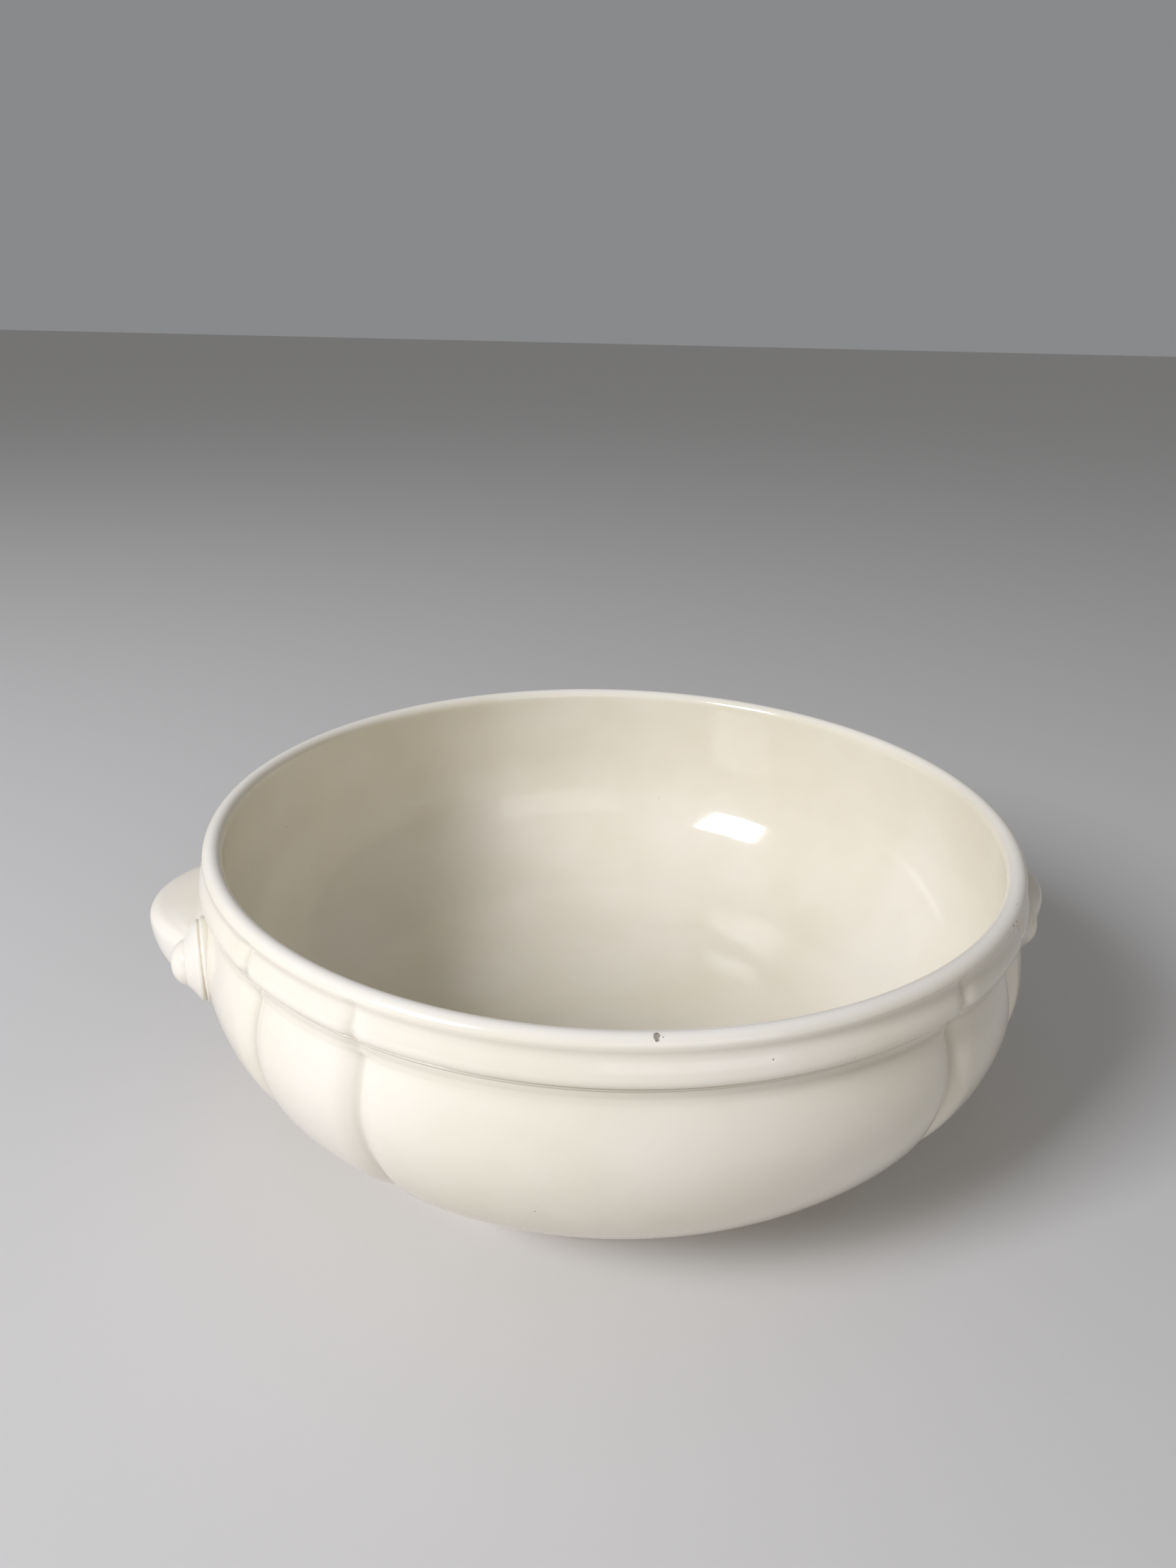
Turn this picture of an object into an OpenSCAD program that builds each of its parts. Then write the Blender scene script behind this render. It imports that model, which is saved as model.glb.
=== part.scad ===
// Round serving bowl in glazed cream ceramic: a lobed body with a rolled lip and a moulded rim band,
// a low foot ring, and two lug grips, each between two stepped round knobs.
// +Z is up, the bowl stands on z = 0 with its axis on the Z axis, and the grips lie along X.

/* [Overall] */
// Height from the resting face to the top of the lip
bowl_h = 103; // [80:1:140]
// Radius of the body at its widest level, the belly
belly_r = 140.4; // [110:0.2:180]
// Drop from the top of the lip to the belly
belly_drop = 37; // [30:0.5:46]
// Thickness of the side wall at the belly
wall = 5; // [3:0.5:7]
// Thickness of the floor
floor_t = 5.5; // [4:0.5:9]

/* [Rim] */
// Radius of the roll that forms the lip
lip_r = 3.2; // [2:0.1:4.2]
// Step in from the belly to the crest of the lip
lip_inset = 6.4; // [5:0.2:10]
// Drop from the middle of the lip's roll to the top edge of the band
band_drop = 1.2; // [0.6:0.1:2]
// Height of the moulded band under the lip
band_h = 9.4; // [8:0.2:15]
// Step in from the belly to the lower edge of the band
band_inset = 2; // [0.8:0.1:3]
// How far the face of the band swells
band_swell = 0.9; // [0.2:0.1:1.4]
// How far the face of the band leans in from its lower edge to its top edge
band_lean = 1.6; // [0.8:0.1:2.4]
// Radius of the fine bead under the band
bead_r = 0.7; // [0.4:0.1:1]
// Height of the cove between the band and the body
cove_h = 6.2; // [4:0.2:8]
// Depth of the cove behind the top edge of the body
cove_d = 1.3; // [0.6:0.1:2.2]

/* [Body curve] */
// Radial reach of the outer curve, from the belly in to its lowest point
curve_reach = 73.4; // [60:0.2:85]
// Drop of that lowest point below the floor's underside
curve_dip = 7.4; // [5:0.2:10]
// Roundness of the outer curve, where 1 is an ellipse and more is flatter
curve_power = 1.09; // [1:0.01:1.3]
// Radial reach of the inner curve, from the inner belly in to the level floor
inner_reach = 60.4; // [50:0.2:75]

/* [Grooves] */
// Angle of the front and back panels, between grooves
panel_angle = 72; // [60:0.2:80]
// Angle of the two panels that carry the grips, between grooves
grip_panel_angle = 70.6; // [60:0.2:80]
// Depth of the grooves between the lobes of the body
groove_d = 2.2; // [1:0.1:3]
// Half width of a groove at the surface of the body
groove_w = 5; // [2:0.1:7]
// Depth of the notches in the rim band
notch_d = 1; // [0.4:0.1:1.6]
// Half width of a notch at the face of the band
notch_w = 2; // [1:0.1:4]

/* [Foot ring] */
// Height of the foot ring
foot_h = 9.5; // [6:0.5:12]
// Step in from the belly to the outside of the foot ring
foot_inset = 44.2; // [42:0.2:60]
// Thickness of the foot ring
foot_t = 9; // [6:0.5:14]
// Taper of each side of the foot ring towards its resting face
foot_taper = 0.4; // [0.2:0.1:2]
// Rounding of the edges of the resting face
foot_round = 1.6; // [0.5:0.1:2.4]

/* [Grips] */
// How far a grip reaches out beyond the belly
grip_out = 19.6; // [14:0.2:26]
// Plan radius of the round outer edge of a grip
grip_r = 40; // [34:1:52]
// Drop from the top of the lip to the top face of a grip
grip_drop = 29.5; // [24:0.5:34]
// Radius of the edge around the top face of a grip
grip_edge = 4; // [2:0.5:8]
// Depth of the rounded underside of a grip below that edge
grip_deep = 22; // [16:0.5:34]
// Angle from the axis of a knob in to the plane where the grip's end stops behind it
grip_short = 1; // [0.5:0.5:2]

/* [Knobs] */
// Angle from the middle of the left grip to the axis of each of its knobs
left_knob_angle = 13.5; // [11.5:0.1:17]
// Angle from the middle of the right grip to the axis of each of its knobs
right_knob_angle = 11.8; // [11.5:0.1:17]
// Drop from the top of the lip to the axis of the knobs
knob_drop = 36; // [31:0.5:42]
// Radius of the base disc of a knob
knob_r = 14.2; // [11:0.2:17]
// How far the base disc stands out beyond the belly
knob_base = 0.2; // [0:0.1:1.6]
// Height of a knob above its base disc
knob_h = 9.8; // [7:0.2:14]
// Depth and height of the fine groove above the base disc
knob_groove = 0.8; // [0.4:0.1:1.2]
// Radius of the step between the cone and the nose of a knob
knob_step_r = 7.6; // [5:0.2:10]
// Height of that step above the base disc
knob_step_h = 5; // [3.6:0.2:6]

/* [Hidden] */
$fn = 96;

glaze_colour = [0.925, 0.910, 0.855];
grip_colour = [0.945, 0.925, 0.880];
foot_colour = [0.870, 0.830, 0.750];

// Distance that a cutter runs past the surface it cuts
over = 1;
// Steps along each curve of the body's section
curve_steps = 16;

// Levels and radii, from the lip down
lip_z = bowl_h - lip_r;
crest_r = belly_r - lip_inset;
mouth_r = crest_r - lip_r;
band_top = lip_z - band_drop;
band_low = band_top - band_h;
band_r = belly_r - band_inset;
body_top = band_low - cove_h;
belly_z = bowl_h - belly_drop;
curve_low = foot_h - curve_dip;
floor_z = foot_h + floor_t;
foot_r = belly_r - foot_inset;
knob_z = bowl_h - knob_drop;

// The outer curve at level z: a superellipse about the belly, the same above and below it
function outer_r(z) =
    let(rise = abs(z - belly_z) / (belly_z - curve_low),
        turn = asin(pow(rise, 1 / curve_power)))
    belly_r - curve_reach * (1 - pow(cos(turn), curve_power));

// Radius of the two edges of the cove, just behind the top edge of the lobed body
cove_r = outer_r(body_top) - cove_d / 2;

// The inner wall above the belly, a shallow arch from the belly to the mouth
function inner_r(z) =
    let(rise = (z - belly_z) / (lip_z - belly_z))
    belly_r - wall - (belly_r - wall - mouth_r) * rise * rise;

// Levels of the outer curve, closer together where it flattens towards the foot
function outer_level(i) =
    foot_h + (body_top - foot_h) * (1 - cos(90 * i / curve_steps));

// Azimuths of the eight grooves: a wide panel on each axis and a narrow lobe on each diagonal
groove_angles = [for (side = [-1, 1]) for (half_turn = [0, 180])
    each [half_turn + side * grip_panel_angle / 2, half_turn + 90 + side * panel_angle / 2]];

// Half section of the body up to the middle of the lip, with the inside filled in
module filled_section() {
    body_wall = [for (i = [0:curve_steps]) [outer_r(outer_level(i)), outer_level(i)]];
    cove = [for (i = [0:8]) let(rise = i / 8)
        [cove_r - cove_d * 2 * rise * (1 - rise), body_top + cove_h * rise]];
    band = [for (i = [0:10]) let(rise = i / 10, lean = band_lean * rise * rise * (3 - 2 * rise))
        [band_r + band_swell * 4 * rise * (1 - rise) - lean, band_low + band_h * rise]];
    polygon(concat([[0, foot_h]], body_wall, cove, band, [[crest_r, band_top], [crest_r, lip_z], [0, lip_z]]));
}

// Half section of the space inside the bowl
module inside_section() {
    dish = [for (i = [0:curve_steps]) let(turn = 90 - 90 * i / curve_steps)
        [belly_r - wall - inner_reach * (1 - cos(turn)), belly_z - (belly_z - floor_z) * sin(turn)]];
    arch = [for (i = [1:8]) let(z = belly_z + (lip_z - belly_z) * i / 8) [inner_r(z), z]];
    polygon(concat([[0, floor_z]], dish, arch, [[mouth_r, lip_z + over], [0, lip_z + over]]));
}

// Half sections of the round roll of the lip and of the fine bead under the band
module rounds_section() {
    translate([crest_r, lip_z]) circle(lip_r);
    translate([cove_r, band_low - bead_r]) circle(bead_r, $fn = 24);
}

// The body's outer form with nothing cut from it, which shapes the backs of the grips and knobs
module block() {
    rotate_extrude() {
        filled_section();
        rounds_section();
    }
}

// A V-shaped cutter that follows the body's outer curve from the underside up into the cove
module groove_cutter() {
    levels = [for (i = [0:curve_steps]) outer_level(i), body_top + over];
    last = len(levels) - 1;
    spread = groove_w * (groove_d + over) / groove_d;
    points = [for (i = [0:last]) let(
            z = levels[i],
            run = outer_r(z + 0.1) - outer_r(z),
            out = [0.1, -run] / norm([0.1, run]),
            depth = groove_d * min(1, (i + 0.5) / 8),
            bottom = [outer_r(z), z] - depth * out,
            mouth = [outer_r(z), z] + over * out)
        each [[bottom[0], 0, bottom[1]], [mouth[0], -spread, mouth[1]], [mouth[0], spread, mouth[1]]]];
    sides = [for (i = [0:last - 1]) for (k = [0:2]) let(a = 3 * i + k, b = 3 * i + (k + 1) % 3)
        each [[a, b + 3, b], [a, a + 3, b + 3]]];
    polyhedron(points, concat([[0, 1, 2], [3 * last + 2, 3 * last + 1, 3 * last]], sides));
}

// A V-shaped notch through the face of the rim band
module notch_cutter() {
    face = band_r + band_swell;
    spread = notch_w * (notch_d + over) / notch_d;
    translate([0, 0, band_low - bead_r])
        linear_extrude(band_h + bead_r + over)
            polygon([[face - notch_d, 0], [face + over, -spread], [face + over, spread]]);
}

// The lobed wall, floor, rim band and lip
module bowl_body() {
    color(glaze_colour) difference() {
        rotate_extrude() {
            difference() {
                filled_section();
                inside_section();
            }
            rounds_section();
        }
        for (a = groove_angles) rotate([0, 0, a]) {
            groove_cutter();
            notch_cutter();
        }
    }
}

// The low ring that the bowl stands on
module foot_ring() {
    outside = foot_r - foot_taper;
    inside = foot_r - foot_t + foot_taper;
    outer_edge = [for (i = [0:6]) [outside, 0] + foot_round * [sin(15 * i) - 1, 1 - cos(15 * i)]];
    inner_edge = [for (i = [0:6]) [inside, 0] + foot_round * [1 - cos(15 * i), 1 - sin(15 * i)]];
    color(foot_colour) rotate_extrude()
        polygon(concat([[foot_r - foot_t, foot_h]], inner_edge, outer_edge, [[foot_r, foot_h]]));
}

// A knob's full form on the +X side, turned about its own axis and still running into the wall
module knob_form() {
    nose_h = knob_h - knob_step_h;
    nose = [for (i = [0:8]) let(turn = 90 * i / 8)
        [(knob_step_r - knob_groove) * cos(turn), knob_step_h + nose_h * sin(turn)]];
    neck_r = knob_r - 2 * knob_groove;
    cone_r = knob_r - knob_groove / 2;
    translate([belly_r + knob_base, 0, knob_z]) rotate([0, 90, 0]) rotate_extrude()
        polygon(concat([[0, -wall], [knob_r, -wall], [knob_r, 0], [neck_r, 0], [neck_r, knob_groove],
            [cone_r, 2 * knob_groove], [knob_step_r, knob_step_h]], nose));
}

// One knob, at an azimuth, cut to lie on the wall
module knob(azimuth) {
    color(grip_colour) difference() {
        rotate([0, 0, azimuth]) knob_form();
        block();
    }
}

// One grip, on the +X side when azimuth is 0: a shelf-topped lug between its two knobs
module grip(azimuth, knob_angle) {
    top = bowl_h - grip_drop;
    edge_z = top - grip_edge;
    edge = [for (i = [0:6]) [grip_r, edge_z] + grip_edge * [cos(15 * i) - 1, sin(15 * i)]];
    under = [for (i = [0:15]) let(turn = 90 - 6 * i) [grip_r * cos(turn), edge_z - grip_deep * sin(turn)]];
    reach = 2 * (belly_r + grip_out);
    color(grip_colour) rotate([0, 0, azimuth]) difference() {
        translate([belly_r + grip_out - grip_r, 0, 0]) rotate_extrude()
            polygon(concat(under, edge, [[0, top]]));
        block();
        for (side = [-1, 1]) {
            rotate([0, 0, side * (knob_angle - grip_short)]) translate([-reach / 2, side > 0 ? 0 : -reach, 0])
                cube([reach, reach, bowl_h]);
            rotate([0, 0, side * knob_angle]) knob_form();
        }
    }
}

module left_grip() { grip(180, left_knob_angle); }
module right_grip() { grip(0, right_knob_angle); }
module left_front_knob() { knob(180 + left_knob_angle); }
module left_back_knob() { knob(180 - left_knob_angle); }
module right_front_knob() { knob(-right_knob_angle); }
module right_back_knob() { knob(right_knob_angle); }

bowl_body();
foot_ring();
left_grip();
right_grip();
left_front_knob();
left_back_knob();
right_front_knob();
right_back_knob();
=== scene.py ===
# Cream porcelain serving bowl: lobed body, rolled lip, moulded rim band, low foot ring, and two lug
# grips, each between two stepped knobs. Every length below is in millimetres, and +Z is up.
import math

import bpy
import numpy as np
from mathutils import Matrix, Vector


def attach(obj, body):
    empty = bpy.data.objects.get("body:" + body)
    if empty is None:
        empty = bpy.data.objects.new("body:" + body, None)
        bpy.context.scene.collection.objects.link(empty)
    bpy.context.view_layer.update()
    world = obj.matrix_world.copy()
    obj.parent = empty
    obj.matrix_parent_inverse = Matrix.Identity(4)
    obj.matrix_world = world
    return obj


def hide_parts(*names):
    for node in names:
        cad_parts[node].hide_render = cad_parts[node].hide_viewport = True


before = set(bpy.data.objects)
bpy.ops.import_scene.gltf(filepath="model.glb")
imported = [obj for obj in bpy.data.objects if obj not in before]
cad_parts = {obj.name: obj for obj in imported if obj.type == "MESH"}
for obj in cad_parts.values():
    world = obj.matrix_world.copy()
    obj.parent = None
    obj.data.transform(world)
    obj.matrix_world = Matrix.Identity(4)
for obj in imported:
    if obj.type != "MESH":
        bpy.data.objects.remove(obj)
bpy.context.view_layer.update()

MM = 0.001

# Body
HEIGHT, BELLY_R, BELLY_Z = 103.0, 140.2, 66.0
WALL, FLOOR_Z, FOOT_H = 5.0, 15.0, 9.5
CURVE_REACH, CURVE_LOW, CURVE_POWER = 73.4, 2.1, 1.09
INNER_REACH = 60.4
# Rim
LIP_ROLL, CREST_R = 3.2, 134.0
BAND_LOW, BAND_R = 89.2, 138.4
COVE_R, COVE_DEEP, BODY_TOP = 136.25, 0.2, 83.2
# Two fine beads under the band
BEAD, BEAD_INSET, BEAD_DROP = 0.42, 0.15, 0.1
# Creases between the lobes, and notches in the band
PANEL_DEG, GRIP_PANEL_DEG = 72.0, 70.6
CREASE_DEEP, CREASE_HALF, CREASE_SOFT = 2.5, 7.5, 1.3
NOTCH_DEEP, NOTCH_HALF, NOTCH_SOFT = 1.3, 4.2, 0.8
LOBE_SWELL, LOBE_REACH = 0.5, 20.0
# Where a crease passes, the lines round the body dip, from one level to another
LINE_DIP, DIP_HALF, DIP_FROM, DIP_TO = 0.7, 1.8, 75.0, 92.0
# Casting and firing leave the round a fraction of a millimetre out
WARP = 0.1
# Foot ring
FOOT_OUT, FOOT_IN, FOOT_ROUND, FOOT_FILLET = 96.2, 87.2, 1.5, 1.6
FOOT_COLUMNS = 192
# Grips
GRIP_TIP, GRIP_ROOT, GRIP_HALF, GRIP_POINT = 159.95, 136.0, 36.0, 2.1
GRIP_TOP, GRIP_EDGE, GRIP_DEEP, GRIP_FILLET = 74.6, 5.0, 18.5, 3.0
GRIP_FALL, GRIP_TURN, GRIP_SINK = 1.0, -0.5, 2.2
# Knobs
LEFT_KNOB_DEG, RIGHT_KNOB_DEG, KNOB_Z, KNOB_BASE = 13.6, 11.7, 66.9, -0.4
KNOB_COLUMNS, KNOB_GROOVE_Z, KNOB_STEP_Z = 96, 0.36, 5.65
# Chips in the lip, each as its azimuth, its angle up the lip's roll, both in degrees, and its rough radius
CHIPS = [(-92.9, 71.0, 1.3), (-40.1, 30.0, 0.6), (-38.6, 22.0, 0.5)]


# ---------------------------------------------------------------- shapes

def smooth(x, low, high):
    """0 below low, 1 above high, and an even S between."""
    t = np.clip((np.asarray(x, float) - low) / (high - low), 0, 1)
    return t * t * (3 - 2 * t)


def outer_r(z):
    """Radius of the body's outer curve at a level: a superellipse about the belly."""
    rise = np.abs(np.asarray(z, float) - BELLY_Z) / (BELLY_Z - CURVE_LOW)
    turn = np.arcsin(np.clip(rise, 0, 1) ** (1 / CURVE_POWER))
    return BELLY_R - CURVE_REACH * (1 - np.cos(turn) ** CURVE_POWER)


def arc(middle, radius, start_deg, end_deg, steps):
    """Points of an arc in a half section, as (radius, level)."""
    a = np.radians(np.linspace(start_deg, end_deg, steps))
    return [(middle[0] + radius * math.cos(t), middle[1] + radius * math.sin(t)) for t in a]


def make_piece(name, points, faces, material, marks=None):
    """A smooth-shaded mesh from points in millimetres; marks holds a value for each point, by name."""
    mesh = bpy.data.meshes.new(name)
    mesh.from_pydata([tuple(p) for p in np.asarray(points, float) * MM], [], faces)
    for label, values in (marks or {}).items():
        mark = mesh.attributes.new(label, "FLOAT", "POINT")
        mark.data.foreach_set("value", np.asarray(values, np.float32))
    mesh.polygons.foreach_set("use_smooth", [True] * len(mesh.polygons))
    mesh.materials.append(material)
    mesh.update()
    piece = bpy.data.objects.new(name, mesh)
    bpy.context.collection.objects.link(piece)
    return piece


def grid_faces(rows, columns, wrap):
    """Quads between the rows of a grid; wrap joins the last column to the first."""
    last = columns if wrap else columns - 1
    faces = []
    for i in range(rows - 1):
        low, high = i * columns, (i + 1) * columns
        for j in range(last):
            k = (j + 1) % columns
            faces.append((low + j, low + k, high + k, high + j))
    return faces


def lathe(section, angles):
    """Points and faces of a closed turned form whose section starts and ends on the axis."""
    ring = np.array(section)[1:-1]
    c, s = np.cos(angles), np.sin(angles)
    points = [(r * cj, r * sj, z) for r, z in ring for cj, sj in zip(c, s)]
    return close_poles(points, len(ring), len(angles), section[0][1], section[-1][1])


def close_poles(points, rows, columns, first_z, last_z):
    """Adds a middle point and a fan of triangles at each end of a wrapped grid."""
    faces = grid_faces(rows, columns, True)
    points = list(points) + [(0, 0, first_z), (0, 0, last_z)]
    first, last = len(points) - 2, len(points) - 1
    for j in range(columns):
        k = (j + 1) % columns
        faces.append((first, k, j))
        faces.append((last, (rows - 1) * columns + j, (rows - 1) * columns + k))
    return points, faces


def crease_angles():
    """Azimuths of the eight creases, two beside each of the four wide panels."""
    panels = [(0, GRIP_PANEL_DEG), (90, PANEL_DEG), (180, GRIP_PANEL_DEG), (270, PANEL_DEG)]
    return [math.radians(middle + side * wide / 2) for middle, wide in panels for side in (-1, 1)]


def azimuths():
    """Azimuths of the body's mesh lines: close together beside each crease, wider apart between."""
    beside = [0, 0.3, 0.6, 0.9, 1.3, 1.7, 2.2, 2.8, 3.5, 4.3, 5.3, 6.5, 8.5, 11]
    wide = 3.5
    marks = sorted(a % (2 * math.pi) for a in crease_angles())
    out = []
    for i, a in enumerate(marks):
        b = marks[(i + 1) % len(marks)] + (2 * math.pi if i == len(marks) - 1 else 0)
        span = (b - a) * BELLY_R
        count = max(2, int((span - 2 * beside[-1]) / wide))
        middle = np.linspace(beside[-1], span - beside[-1], count + 1)[1:-1]
        run = beside + list(middle) + [span - d for d in beside[:0:-1]]
        out += [a + d / BELLY_R for d in run]
    return np.array(out)


# ---------------------------------------------------------------- body

def body_section():
    """Half section from the middle of the underside out, up, over the lip and in to the middle of the
    floor. Each point is (radius, level, share of the crease, share of the notch)."""
    under_rise = 0.6
    out = [(0, FOOT_H + under_rise, 0, 0)]
    out += [(r, FOOT_H + under_rise * (1 - r / FOOT_IN), 0, 0) for r in np.linspace(8, FOOT_IN + 2, 14)]
    z = FOOT_H + (BODY_TOP - FOOT_H) * (1 - np.cos(np.linspace(0, math.pi / 2, 56)))
    z = z[z < BODY_TOP - 1.0]
    r = outer_r(z)
    keep = r > FOOT_IN + 3
    out += [(a, b, float(0.35 + 0.65 * smooth(b, 10, 34)), 0) for a, b in zip(r[keep], z[keep])]
    # soft top of the lobes
    top_r = float(outer_r(BODY_TOP))
    lobe_top = [(0.42, -0.95, 0.95), (0.27, -0.55, 0.85), (0.12, -0.1, 0.75), (0.0, 0.4, 0.65),
                (-0.08, 0.9, 0.55)]
    out += [(top_r + r, BODY_TOP + z, share, 0) for r, z, share in lobe_top]
    # cove, up to the two fine beads under the band
    cove_high = BAND_LOW - 4 * BEAD - 0.3
    for t in np.linspace(0.4, 0.94, 6):
        out.append((COVE_R - COVE_DEEP * math.sin(math.pi * t), BODY_TOP + (cove_high - BODY_TOP) * t,
                    0.6 * (1 - t), 0.9 * t))
    for bead in (3, 1):
        middle = (COVE_R - BEAD_INSET, BAND_LOW - bead * BEAD - BEAD_DROP)
        out += [(r, z, 0, 0.85) for r, z in arc(middle, BEAD, -74, 74, 8)]
    # the band: a rounded foot, a swelling face, and a soft hollow where it meets the lip
    band = [(-2.0, 0.12, 0.9), (-1.3, 0.06, 1), (-0.6, 0.2, 1), (-0.1, 0.55, 1), (0.22, 1.05, 1),
            (0.42, 1.65, 1), (0.5, 2.3, 1), (0.44, 3.0, 1), (0.26, 3.8, 1), (-0.04, 4.6, 1),
            (-0.44, 5.4, 1), (-0.88, 6.2, 1), (-1.3, 7.0, 0.95), (-1.62, 7.7, 0.85), (-1.82, 8.4, 0.7),
            (-1.86, 9.1, 0.55), (-1.74, 9.8, 0.4)]
    out += [(BAND_R + r, BAND_LOW + z, 0, share) for r, z, share in band]
    # the roll of the lip
    out += [(r, z, 0, 0) for r, z in arc((CREST_R, HEIGHT - LIP_ROLL), LIP_ROLL - 0.02, 14, 176, 24)]
    # inside: a shallow arch down to the belly, then a quarter ellipse to the level floor
    mouth_r, inner_belly = CREST_R - LIP_ROLL, BELLY_R - WALL
    for z in np.linspace(HEIGHT - LIP_ROLL - 1.2, BELLY_Z, 22):
        rise = (z - BELLY_Z) / (HEIGHT - LIP_ROLL - BELLY_Z)
        out.append((inner_belly - (inner_belly - mouth_r) * rise ** 1.3, z, 0, 0))
    inner_deep = BELLY_Z - FLOOR_Z
    out += [(inner_belly - INNER_REACH * (1 - math.cos(t)), BELLY_Z - inner_deep * math.sin(t), 0, 0)
            for t in np.linspace(0, math.pi / 2, 40)[1:]]
    # the floor is dished a little
    floor_r, dish = inner_belly - INNER_REACH, 0.4
    out += [(r, FLOOR_Z - dish * (1 - (r / floor_r) ** 2), 0, 0)
            for r in np.linspace(floor_r, 5, 14)[1:]]
    out.append((0, FLOOR_Z - dish, 0, 0))
    return out


def valley(distance, deep, half, soft):
    """Depth of a soft-bottomed valley between two full forms, at a distance from its line."""
    d = np.sqrt(distance ** 2 + soft ** 2) - soft
    return deep * np.clip(1 - d / half, 0, 1) ** 2


def body_points(section, angles):
    """The section turned about the axis, with the creases and notches sunk along its normal."""
    ring = np.array(section)[1:-1]
    step = np.gradient(ring[:, :2], axis=0)
    normal = np.stack([step[:, 1], -step[:, 0]], 1)
    normal /= np.linalg.norm(normal, axis=1)[:, None]
    gap = np.full(len(angles), np.inf)
    for a in crease_angles():
        gap = np.minimum(gap, np.abs((angles - a + math.pi) % (2 * math.pi) - math.pi))
    points, marks = [], []
    for (r, z, crease, notch), n in zip(ring, normal):
        away = gap * r
        sink = crease * (valley(away, CREASE_DEEP, CREASE_HALF, CREASE_SOFT)
                         + LOBE_SWELL * (1 - smooth(away, 0, LOBE_REACH)))
        sink += notch * valley(away, NOTCH_DEEP, NOTCH_HALF, NOTCH_SOFT)
        # above the lobes everything sinks straight in
        along = n if z < BODY_TOP - 1.2 else (1.0, 0.0)
        dip_share = float(smooth(z, DIP_FROM, BODY_TOP) * (1 - smooth(z, DIP_TO - 3, DIP_TO)))
        dip = LINE_DIP * np.exp(-(away / DIP_HALF) ** 2) * dip_share
        warp = WARP * (1 + np.sin(2 * angles + 0.7)) * smooth(z, 10, 60)
        rr, zz = r - warp - sink * along[0], z - sink * along[1] - dip
        points += list(zip(rr * np.cos(angles), rr * np.sin(angles), zz))
        # painted shade, with glaze pooling, darkens the creases and the notches along their lines
        marks += list(np.maximum(0.8 * crease * np.exp(-(away / 1.6) ** 2),
                                 0.5 * notch * np.exp(-(away / 1.2) ** 2)))
    return points, marks, ring


def make_body(material):
    """The lobed body, with marks for where its glaze pools and painted shade darkens it, and where it runs
    thin.
    """
    section, angles = body_section(), azimuths()
    points, pool_and_shade, ring = body_points(section, angles)
    columns = len(angles)
    pool_and_shade = np.array(pool_and_shade).reshape(-1, columns)
    radius, level = ring[:, 0], ring[:, 1]
    # glaze pooling and painted shade also darken the cove, the hollow under the lip and the fine lines
    # under the band, each given as its level, its half width and its strength
    pool_and_shade_levels = [(BODY_TOP + 1.6, 1.6, 0.5), (BAND_LOW + 8.8, 1.3, 0.25)]
    pool_and_shade_levels += [(BAND_LOW - beads * 2 * BEAD - BEAD_DROP, 0.2, 0.9) for beads in (0, 1, 2)]
    pool_and_shade_lines = sum(strength * np.exp(-((level - at) / half) ** 2) for at, half, strength in pool_and_shade_levels)
    pool_and_shade_lines = pool_and_shade_lines * (radius > CREST_R + 0.5)
    pool_and_shade = np.maximum(pool_and_shade, pool_and_shade_lines[:, None]).ravel()
    # and runs thin over the top of the lip
    crest = np.exp(-((radius - CREST_R) / 3.0) ** 2) * smooth(level, HEIGHT - 2.5, HEIGHT - 0.3)
    thin = np.repeat(crest, columns)
    points, faces = close_poles(points, len(ring), columns, section[0][1], section[-1][1])
    pad = [0.0, 0.0]
    return make_piece("lobed_body", points, faces, material,
                      {"pool_and_shade": list(pool_and_shade) + pad, "thin": list(thin) + pad})


# ---------------------------------------------------------------- foot ring

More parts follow.
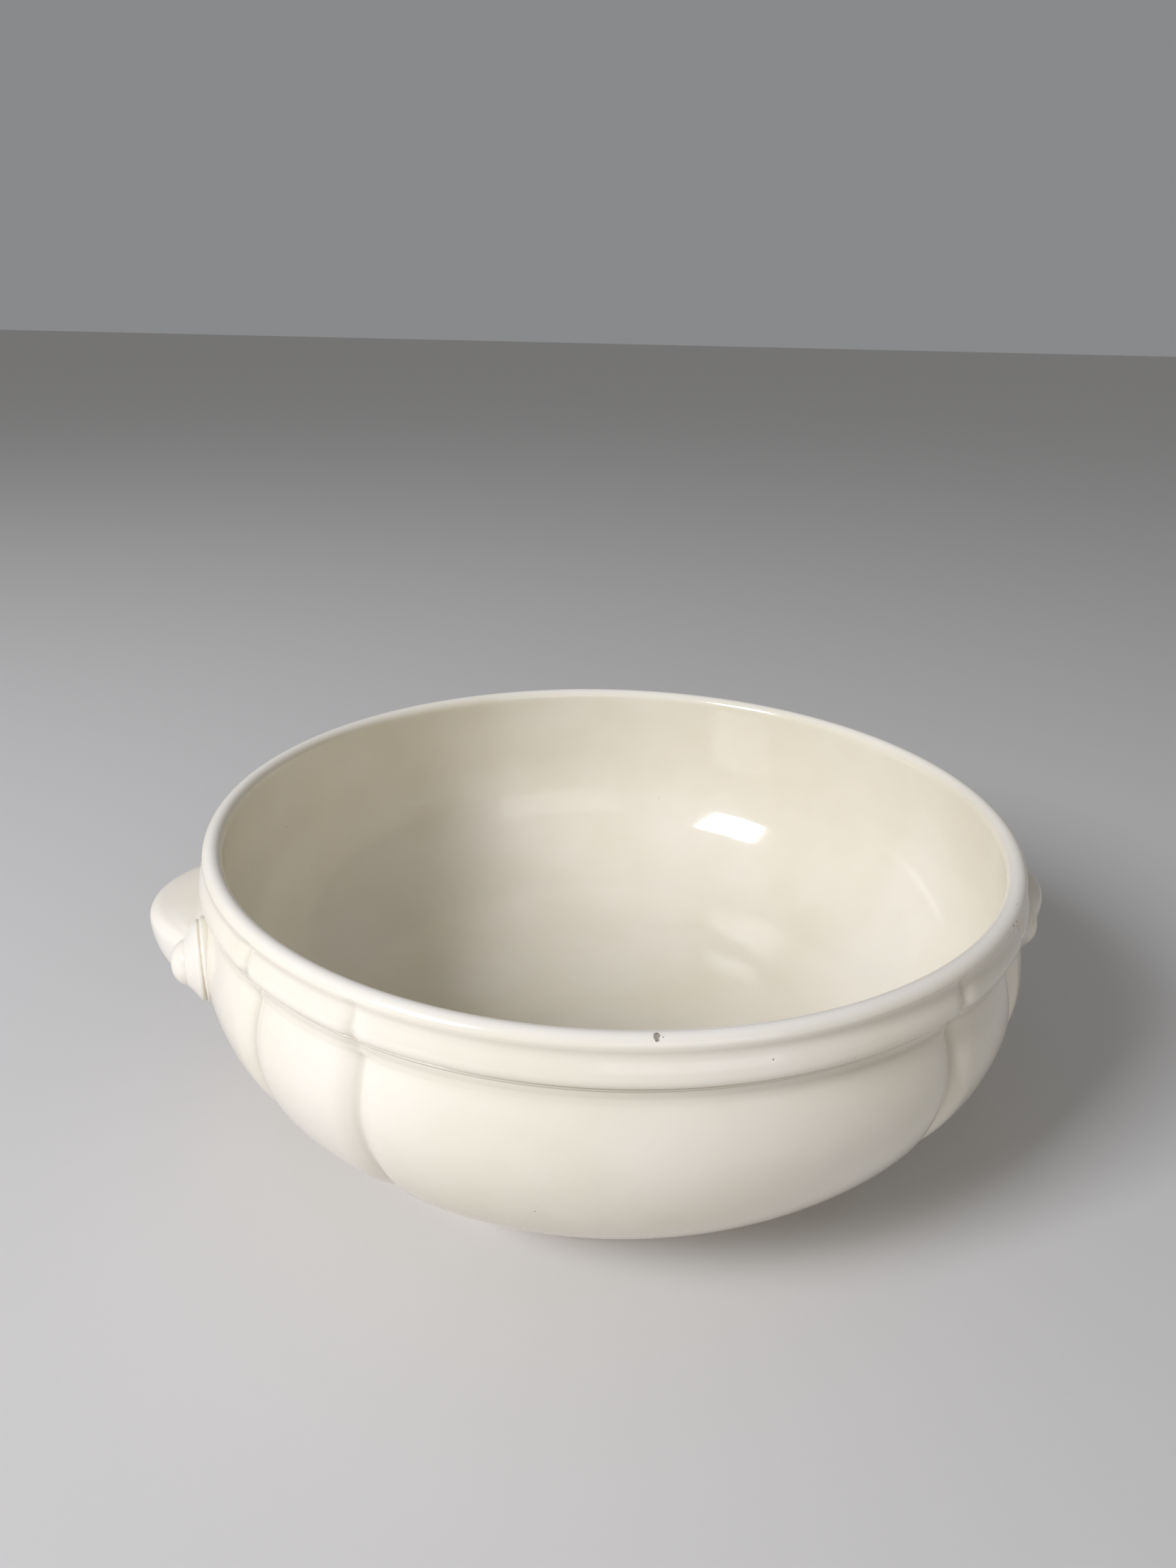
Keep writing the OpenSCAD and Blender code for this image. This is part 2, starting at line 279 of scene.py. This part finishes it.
def make_foot(glaze, bare):
    """The low ring: glazed sides that flow into the underside, and a bare ground resting face."""
    out_low, in_low = FOOT_OUT - 0.3, FOOT_IN + 1.4
    quarter = np.linspace(0, math.pi / 2, 7)
    section = [(FOOT_IN - FOOT_FILLET, FOOT_H + 0.5), (FOOT_IN - FOOT_FILLET * 0.55, FOOT_H - 0.1),
               (FOOT_IN - FOOT_FILLET * 0.15, FOOT_H - 1.0), (FOOT_IN + 0.1, FOOT_H - 2.4),
               (FOOT_IN + 0.6, FOOT_H - 5.0)]
    section += [(in_low + FOOT_ROUND * (1 - math.cos(t)), FOOT_ROUND * (1 - math.sin(t)))
                for t in quarter]
    flat_from = len(section) - 2
    section += [(r, 0.0) for r in np.linspace(in_low + FOOT_ROUND, out_low - FOOT_ROUND, 4)[1:-1]]
    flat_to = len(section) + 1
    section += [(out_low - FOOT_ROUND + FOOT_ROUND * math.sin(t), FOOT_ROUND * (1 - math.cos(t)))
                for t in quarter]
    section += [(FOOT_OUT - 0.2, FOOT_H - 5.0), (FOOT_OUT - 0.1, FOOT_H - 2.4),
                (FOOT_OUT + FOOT_FILLET * 0.2, FOOT_H - 1.0),
                (FOOT_OUT + FOOT_FILLET * 0.7, FOOT_H + 0.1),
                (FOOT_OUT + FOOT_FILLET * 1.5, FOOT_H + 1.3), (FOOT_OUT - 2, FOOT_H + 2.0)]
    angles = np.linspace(0, 2 * math.pi, FOOT_COLUMNS, endpoint=False)
    points = [(r * math.cos(a), r * math.sin(a), z) for r, z in section for a in angles]
    faces = grid_faces(len(section), FOOT_COLUMNS, True)
    # the last row joins the first, inside the wall
    last = (len(section) - 1) * FOOT_COLUMNS
    for j in range(FOOT_COLUMNS):
        k = (j + 1) % FOOT_COLUMNS
        faces.append((j, k, last + k, last + j))
    # glaze pooling and painted shade darken where the ring meets the underside, and the glaze runs thin
    # beside the ground face
    pool_and_shade = [0.5 if z > FOOT_H - 1.2 else 0.0 for _, _, z in points]
    thin = [0.6 if z < 0.8 else 0.0 for _, _, z in points]
    piece = make_piece("foot_ring_turned", points, faces, glaze, {"pool_and_shade": pool_and_shade, "thin": thin})
    piece.data.materials.append(bare)
    for face in piece.data.polygons:
        row = face.index // FOOT_COLUMNS
        if flat_from <= row < flat_to:
            face.material_index = 1
    return piece


# ---------------------------------------------------------------- grips and knobs

def wall_x(z, y):
    """How far out the wall is at a level, in the upright plane y away from the middle of a grip."""
    return np.sqrt(outer_r(z) ** 2 - y * y)


def bend(a, corner, b, steps):
    """Points of a curve from a to b that is pulled towards the corner between them."""
    a, corner, b = map(np.array, (a, corner, b))
    return [tuple((1 - t) ** 2 * a + 2 * t * (1 - t) * corner + t * t * b)
            for t in np.linspace(0, 1, steps)]


def grip_section(y):
    """Closed section of a grip, y from its middle: the outer line, which is fillet, shelf, round edge,
    underside and fillet, and the back, which lies inside the wall."""
    taper = (abs(y) / GRIP_HALF) ** 2
    top_z, deep = GRIP_TOP - 1.0 * taper, GRIP_DEEP * (1 - 0.25 * taper)
    tip = GRIP_ROOT + (GRIP_TIP - GRIP_ROOT) * (1 - (abs(y) / GRIP_HALF) ** GRIP_POINT)
    start = float(wall_x(top_z, y))
    room = tip - start
    edge, edge_top = min(GRIP_EDGE, 0.6 * room), top_z - GRIP_FALL
    edge_z = edge_top - GRIP_EDGE
    fillet = min(GRIP_FILLET, 0.4 * room)
    top = bend((float(wall_x(top_z + fillet + 0.4, y)) - 0.3, top_z + fillet + 0.4), (start, top_z),
               (start + fillet, top_z), 7)
    shelf = [(start + fillet + (room - edge - fillet) * t, top_z - GRIP_FALL * t * t)
             for t in np.linspace(0, 1, 8)[1:]]
    rounded = [(tip - edge + edge * math.sin(t), edge_top - GRIP_EDGE * (1 - math.cos(t)))
               for t in np.linspace(0, math.pi / 2, 9)[1:]]
    under = []
    for t in np.linspace(0, math.pi / 2, 50)[1:]:
        z = edge_z - deep * math.sin(t)
        inner = float(wall_x(z, y))
        under.append((inner + (tip - inner) * max(math.cos(t), 0) ** 0.6, z))
    # the underside meets the wall in a longer, softer curve
    cut = 34
    low = (float(wall_x(under[-1][1] - 3.5, y)) - 0.3, under[-1][1] - 3.5)
    tail = bend(under[cut], (under[-1][0] + 0.5, under[-1][1]), low, 9)[1:]
    line = even_steps(top + shelf + rounded + under[:cut + 1] + tail, 48)
    back = [(float(wall_x(z, y)) - GRIP_SINK, z) for z in np.linspace(line[-1][1], line[0][1], 8)]
    return line, back


def even_steps(line, count):
    """The same line with its points spread evenly along it."""
    line = np.array(line)
    run = np.concatenate([[0], np.cumsum(np.linalg.norm(np.diff(line, axis=0), axis=1))])
    at = np.linspace(0, run[-1], count)
    return list(zip(np.interp(at, run, line[:, 0]), np.interp(at, run, line[:, 1])))


def make_grip(name, turned_deg, material):
    """A shelf-topped lug whose ends run in behind its two knobs."""
    end = GRIP_HALF - 1.2
    sections = [end * math.sin(t) for t in np.linspace(-math.pi / 2, math.pi / 2, 65)]
    rows, pool_and_shade = [], []
    for y in sections:
        line, back = grip_section(y)
        rows += [(x, y, z) for x, z in line + back]
        run = np.linspace(0, 1, len(line))
        # painted shade, with glaze pooling, darkens both ends of the outer line, where the grip runs into
        # the wall
        pool_and_shade += list(0.4 * (np.exp(-(run / 0.05) ** 2) + np.exp(-((1 - run) / 0.05) ** 2)))
        pool_and_shade += [0.0] * len(back)
    columns = len(line) + len(back)
    faces = [f[::-1] for f in grid_faces(len(sections), columns, True)]
    faces.append(tuple(range(columns)))
    faces.append(tuple(reversed(range((len(sections) - 1) * columns, len(sections) * columns))))
    c, s = math.cos(math.radians(turned_deg)), math.sin(math.radians(turned_deg))
    points = [(c * x - s * y, s * x + c * y, z) for x, y, z in rows]
    return make_piece(name, points, faces, material, {"pool_and_shade": pool_and_shade, "thin": [0.0] * len(points)})


def knob_section():
    """Half section of a knob from its back, inside the wall, to its nose: (radius, height)."""
    out = [(0, -4.0), (12.4, -4.0), (13.8, -3.0)]
    # rim of the base disc, and the fine groove above it
    out += arc((13.45, -0.65), 0.65, 0, 82, 6)
    out += [(13.4, 0.02), (13.26, 0.07), (13.12, 0.18), (13.06, KNOB_GROOVE_Z), (13.12, 0.54), (13.2, 0.7)]
    # hollow cone up to the step
    out += [(13.24, 0.95), (13.16, 1.3), (12.9, 1.7), (12.45, 2.1), (11.85, 2.5), (11.15, 2.95),
            (10.5, 3.38), (10.05, 3.7), (9.5, 4.08), (8.95, 4.5), (8.45, 4.92), (8.05, 5.28), (7.75, 5.52)]
    # domed nose
    out += [(7.54, 5.74), (7.42, 6.02), (7.22, 6.4), (6.95, 6.85), (6.6, 7.36), (6.1, 7.9), (5.5, 8.44),
            (4.7, 9.0), (3.75, 9.46), (2.7, 9.8), (1.6, 10.0), (0.7, 10.08), (0, 10.1)]
    return out


def make_knob(name, azimuth_deg, material):
    """A turned knob that lies against the wall, its axis pointing straight out from the bowl's."""
    section = knob_section()
    points, faces = lathe(section, np.linspace(0, 2 * math.pi, KNOB_COLUMNS, endpoint=False))
    a = math.radians(azimuth_deg)
    out = Vector((math.cos(a), math.sin(a), 0))
    across, up = Vector((-math.sin(a), math.cos(a), 0)), Vector((0, 0, 1))
    middle = out * (BELLY_R + KNOB_BASE) + up * KNOB_Z
    placed = [middle + across * x + up * y + out * z for x, y, z in points]
    # stain lies in the groove, and glaze pooling with painted shade darkens the step; the middle points at
    # both ends have neither
    ring = section[1:-1]
    stain_rows = [math.exp(-((z - KNOB_GROOVE_Z) / 0.3) ** 2) * (r > 12) for r, z in ring]
    pool_and_shade_rows = [0.3 * math.exp(-((z - KNOB_STEP_Z) / 0.25) ** 2) for r, z in ring]
    stain, pool_and_shade = (list(np.repeat(rows, KNOB_COLUMNS)) + [0.0, 0.0] for rows in (stain_rows, pool_and_shade_rows))
    return make_piece(name, placed, faces, material,
                      {"pool_and_shade": pool_and_shade, "thin": [0.0] * len(placed), "stain": stain})


# ---------------------------------------------------------------- materials

def colour(hex_code):
    """An sRGB hex colour as linear RGBA."""
    values = [int(hex_code[i:i + 2], 16) / 255 for i in (1, 3, 5)]
    return [v / 12.92 if v <= 0.04045 else ((v + 0.055) / 1.055) ** 2.4 for v in values] + [1.0]


def add(tree, kind, settings=None, links=None):
    """Adds a node, sets its properties and inputs, and links outputs of other nodes to its inputs."""
    node = tree.nodes.new(kind)
    for key, value in (settings or {}).items():
        if isinstance(key, str) and hasattr(node, key):
            setattr(node, key, value)
        else:
            node.inputs[key].default_value = value
    for key, output in (links or {}).items():
        tree.links.new(output, node.inputs[key])
    return node


def new_material(name):
    """An empty node material, and its node tree."""
    material = bpy.data.materials.new(name)
    material.use_nodes = True
    material.node_tree.nodes.clear()
    return material, material.node_tree


def pattern(size):
    """Scale of a procedural pattern whose cells are a given size in millimetres."""
    return 1 / (size * MM)


def glazed_porcelain(name, light, deep, pool_and_shade_colour, with_chips=False):
    """Feldspar glaze over cast porcelain: a wet gloss over a soft cream body, a shade deeper where the
    glaze pools and where painted shade falls in creases, hollows and joins, paler where it runs thin, and
    with a few dark pinholes."""
    material, tree = new_material(name)
    place = add(tree, "ShaderNodeTexCoord")
    # cloudy change of tone, about 60 mm across
    cloud = add(tree, "ShaderNodeTexNoise", {"Scale": pattern(62.5), "Detail": 3.0, "Roughness": 0.55},
                {"Vector": place.outputs["Object"]})
    tone = add(tree, "ShaderNodeValToRGB", links={"Fac": cloud.outputs["Fac"]})
    tone.color_ramp.elements[0].position, tone.color_ramp.elements[0].color = 0.35, colour(deep)
    tone.color_ramp.elements[1].position, tone.color_ramp.elements[1].color = 0.68, colour(light)
    # painted shade and glaze pooling: the marked creases, hollows and joins are mixed towards a deeper grey
    pool_and_shade = add(tree, "ShaderNodeAttribute", {"attribute_name": "pool_and_shade"})
    pool_and_shade_share = add(tree, "ShaderNodeMath", {"operation": "MULTIPLY", 1: 0.4},
                     {0: pool_and_shade.outputs["Fac"]})
    in_pool_and_shade = add(tree, "ShaderNodeMix", {"data_type": "RGBA", 7: colour(pool_and_shade_colour)},
                  {0: pool_and_shade_share.outputs[0], 6: tone.outputs["Color"]})
    thin = add(tree, "ShaderNodeAttribute", {"attribute_name": "thin"})
    thin_share = add(tree, "ShaderNodeMath", {"operation": "MULTIPLY", 1: 0.6},
                     {0: thin.outputs["Fac"]})
    over_edge = add(tree, "ShaderNodeMix", {"data_type": "RGBA", 7: colour("#F6F1E6")},
                    {0: thin_share.outputs[0], 6: in_pool_and_shade.outputs[2]})
    stain = add(tree, "ShaderNodeAttribute", {"attribute_name": "stain"})
    # old stain lies in the knobs' fine grooves in broken patches, about 8 mm long
    patches = add(tree, "ShaderNodeTexNoise", {"Scale": pattern(8.333), "Detail": 2.0},
                  {"Vector": place.outputs["Object"]})
    patch_share = add(tree, "ShaderNodeMapRange", {1: 0.3, 2: 0.6, 3: 0.2, 4: 0.65},
                      {0: patches.outputs["Fac"]})
    stain_share = add(tree, "ShaderNodeMath", {"operation": "MULTIPLY"},
                      {0: stain.outputs["Fac"], 1: patch_share.outputs[0]})
    stained = add(tree, "ShaderNodeMix", {"data_type": "RGBA", 7: colour("#D2C4A8")},
                  {0: stain_share.outputs[0], 6: over_edge.outputs[2]})
    # pinholes about 0.5 mm wide, in some of the cells of a 12 mm pattern
    cells = add(tree, "ShaderNodeTexVoronoi", {"Scale": pattern(11.765), "Randomness": 1.0},
                {"Vector": place.outputs["Object"]})
    dot = add(tree, "ShaderNodeMapRange", {1: 0.014, 2: 0.028, 3: 1.0, 4: 0.0},
              {0: cells.outputs["Distance"]})
    pick = add(tree, "ShaderNodeSeparateColor", links={0: cells.outputs["Color"]})
    chosen = add(tree, "ShaderNodeMath", {"operation": "GREATER_THAN", 1: 0.35}, {0: pick.outputs[0]})
    pinhole = add(tree, "ShaderNodeMath", {"operation": "MULTIPLY"},
                  {0: dot.outputs[0], 1: chosen.outputs[0]})
    hole_share = add(tree, "ShaderNodeMath", {"operation": "MULTIPLY", 1: 0.75},
                     {0: pinhole.outputs[0]})
    pitted = add(tree, "ShaderNodeMix", {"data_type": "RGBA", 7: colour("#6E5F4C")},
                 {0: hole_share.outputs[0], 6: stained.outputs[2]})
    # chips have outlines broken at about 1 mm, and bare the grey body under the glaze
    rough_edge = add(tree, "ShaderNodeTexNoise", {"Scale": pattern(1.1111), "Detail": 3.0},
                     {"Vector": place.outputs["Object"]})
    chipped = pitted
    for azimuth, turn, radius in (CHIPS if with_chips else []):
        a, t = math.radians(azimuth), math.radians(turn)
        r, z = CREST_R + LIP_ROLL * math.cos(t), HEIGHT - LIP_ROLL * (1 - math.sin(t))
        middle = (r * math.cos(a) * MM, r * math.sin(a) * MM, z * MM)
        away = add(tree, "ShaderNodeVectorMath", {"operation": "DISTANCE", 1: middle},
                   {0: place.outputs["Object"]})
        broken = add(tree, "ShaderNodeMath", {"operation": "MULTIPLY_ADD", 1: radius * MM * 2.4},
                     {0: rough_edge.outputs["Fac"], 2: away.outputs["Value"]})
        share = add(tree, "ShaderNodeMapRange",
                    {1: radius * MM * 1.95, 2: radius * MM * 2.1, 3: 1.0, 4: 0.0}, {0: broken.outputs[0]})
        speckle = add(tree, "ShaderNodeMix",
                      {"data_type": "RGBA", 6: colour("#5F564B"), 7: colour("#C9C0B0")},
                      {0: rough_edge.outputs["Fac"]})
        chipped = add(tree, "ShaderNodeMix", {"data_type": "RGBA"},
                      {0: share.outputs[0], 6: chipped.outputs[2], 7: speckle.outputs[2]})
    # a fired gloss is even to the eye, with faint cloudy wear from use, about 22 mm across
    wear = add(tree, "ShaderNodeTexNoise", {"Scale": pattern(22.222), "Detail": 5.0, "Roughness": 0.6},
               {"Vector": place.outputs["Object"]})
    gloss = add(tree, "ShaderNodeMapRange", {1: 0.3, 2: 0.75, 3: 0.07, 4: 0.17},
                {0: wear.outputs["Fac"]})
    # the glaze surface swims a little, in waves about 12 mm long
    waves = add(tree, "ShaderNodeTexNoise", {"Scale": pattern(12.5), "Detail": 1.0},
                {"Vector": place.outputs["Object"]})
    swim = add(tree, "ShaderNodeBump", {"Strength": 0.12, "Distance": 0.0006},
               {"Height": waves.outputs["Fac"]})
    pits = add(tree, "ShaderNodeBump", {"Strength": 0.25, "Distance": 0.0002, "invert": True},
               {"Height": pinhole.outputs[0], "Normal": swim.outputs[0]})
    shader = add(tree, "ShaderNodeBsdfPrincipled",
                 {"IOR": 1.52, "Subsurface Weight": 0.12, "Subsurface Scale": 0.004,
                  "Subsurface Radius": (1.0, 0.75, 0.5)},
                 {"Base Color": chipped.outputs[2], "Roughness": gloss.outputs[0],
                  "Normal": pits.outputs[0]})
    add(tree, "ShaderNodeOutputMaterial", links={"Surface": shader.outputs[0]})
    return material


def bare_porcelain(name):
    """Fired porcelain with no glaze, ground flat: matt, slightly toasted and grubby from shelves."""
    material, tree = new_material(name)
    place = add(tree, "ShaderNodeTexCoord")
    # grime in clouds about 17 mm across
    grime = add(tree, "ShaderNodeTexNoise", {"Scale": pattern(16.667), "Detail": 6.0, "Roughness": 0.65},
                {"Vector": place.outputs["Object"]})
    tone = add(tree, "ShaderNodeValToRGB", links={"Fac": grime.outputs["Fac"]})
    tone.color_ramp.elements[0].position, tone.color_ramp.elements[0].color = 0.3, colour("#B9A88A")
    tone.color_ramp.elements[1].position, tone.color_ramp.elements[1].color = 0.7, colour("#E2D8C4")
    # the ground body's grain is finer than a tenth of a millimetre, and is drawn at 0.5 mm to show
    grain = add(tree, "ShaderNodeTexNoise", {"Scale": pattern(0.5), "Detail": 2.0},
                {"Vector": place.outputs["Object"]})
    bump = add(tree, "ShaderNodeBump", {"Strength": 0.3, "Distance": 0.0002},
               {"Height": grain.outputs["Fac"]})
    shader = add(tree, "ShaderNodeBsdfPrincipled", {"IOR": 1.5, "Roughness": 0.72},
                 {"Base Color": tone.outputs["Color"], "Normal": bump.outputs[0]})
    add(tree, "ShaderNodeOutputMaterial", links={"Surface": shader.outputs[0]})
    return material


def matt_floor(name):
    """Plain matt paint, pale and even: no gloss shows the bowl in it."""
    material, tree = new_material(name)
    shader = add(tree, "ShaderNodeBsdfPrincipled",
                 {"Base Color": colour("#D3D0CB"), "Roughness": 0.6})
    add(tree, "ShaderNodeOutputMaterial", links={"Surface": shader.outputs[0]})
    return material


# ---------------------------------------------------------------- the bowl

body_glaze = glazed_porcelain("cream_glazed_porcelain", "#ECE5D5", "#E5DDC8", "#A8A08A",
                               with_chips=True)
grip_glaze = glazed_porcelain("cream_glazed_porcelain_grips", "#EBE5D7", "#E6DECC", "#A8A08A")
foot_bare = bare_porcelain("bare_ground_porcelain")

pieces = {
    "bowl_body": make_body(body_glaze),
    "foot_ring": make_foot(body_glaze, foot_bare),
    "right_grip": make_grip("right_lug_grip", GRIP_TURN, grip_glaze),
    "left_grip": make_grip("left_lug_grip", 180 + GRIP_TURN, grip_glaze),
    "right_front_knob": make_knob("right_front_stepped_knob", -RIGHT_KNOB_DEG, grip_glaze),
    "right_back_knob": make_knob("right_back_stepped_knob", RIGHT_KNOB_DEG, grip_glaze),
    "left_front_knob": make_knob("left_front_stepped_knob", 180 + LEFT_KNOB_DEG, grip_glaze),
    "left_back_knob": make_knob("left_back_stepped_knob", 180 - LEFT_KNOB_DEG, grip_glaze),
}
for node, piece in pieces.items():
    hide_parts(node)
    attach(piece, "root")


# ---------------------------------------------------------------- floor, lights and camera

def aim(thing, position, target, roll_deg=0.0):
    """Stands a light or camera at a position, looking at a target, rolled about its line of sight."""
    position, target = Vector(position) * MM, Vector(target) * MM
    turn = (target - position).to_track_quat("-Z", "Y").to_matrix().to_4x4()
    roll = Matrix.Rotation(math.radians(roll_deg), 4, "Z")
    thing.matrix_world = Matrix.Translation(position) @ turn @ roll


def add_softbox(name, position, width, height, power, tint):
    """A rectangular soft light that looks at the bowl; its power is in watts."""
    light = bpy.data.lights.new(name, "AREA")
    light.shape, light.size, light.size_y = "RECTANGLE", width * MM, height * MM
    light.energy, light.color = power, colour(tint)[:3]
    box = bpy.data.objects.new(name, light)
    bpy.context.collection.objects.link(box)
    aim(box, position, BOWL_MIDDLE)


FLOOR_HALF = 60000.0
BOWL_MIDDLE = (0, 0, 60)
CAMERA_PLACE, CAMERA_TARGET, CAMERA_ROLL = (-49.7, -348.8, 257.1), (-8.9, 1.2, 110.9), 1.32

corners = [(-FLOOR_HALF, -FLOOR_HALF), (FLOOR_HALF, -FLOOR_HALF), (FLOOR_HALF, FLOOR_HALF),
           (-FLOOR_HALF, FLOOR_HALF)]
floor_mesh = bpy.data.meshes.new("floor")
floor_mesh.from_pydata([(x * MM, y * MM, 0) for x, y in corners], [], [(0, 1, 2, 3)])
floor_mesh.materials.append(matt_floor("pale_floor"))
floor = bpy.data.objects.new("floor", floor_mesh)
bpy.context.collection.objects.link(floor)

add_softbox("key_window", (-1240, -820, 1080), 560, 620, 30.0, "#F1F4FF")
add_softbox("broad_fill", (400, -1900, 1000), 1600, 1000, 5.0, "#F4F5FF")

world = bpy.data.worlds.new("studio")
world.use_nodes = True
surround = world.node_tree.nodes["Background"]
surround.inputs["Color"].default_value = colour("#E8E9EC")
surround.inputs["Strength"].default_value = 0.31
bpy.context.scene.world = world
bpy.context.scene.view_settings.view_transform = "Standard"

lens = bpy.data.cameras.new("camera")
lens.sensor_fit, lens.sensor_width, lens.lens = "HORIZONTAL", 36.0, 33.64
lens.clip_start, lens.clip_end = 0.02, 20.0
camera = bpy.data.objects.new("camera", lens)
bpy.context.collection.objects.link(camera)
aim(camera, CAMERA_PLACE, CAMERA_TARGET, CAMERA_ROLL)
bpy.context.scene.camera = camera
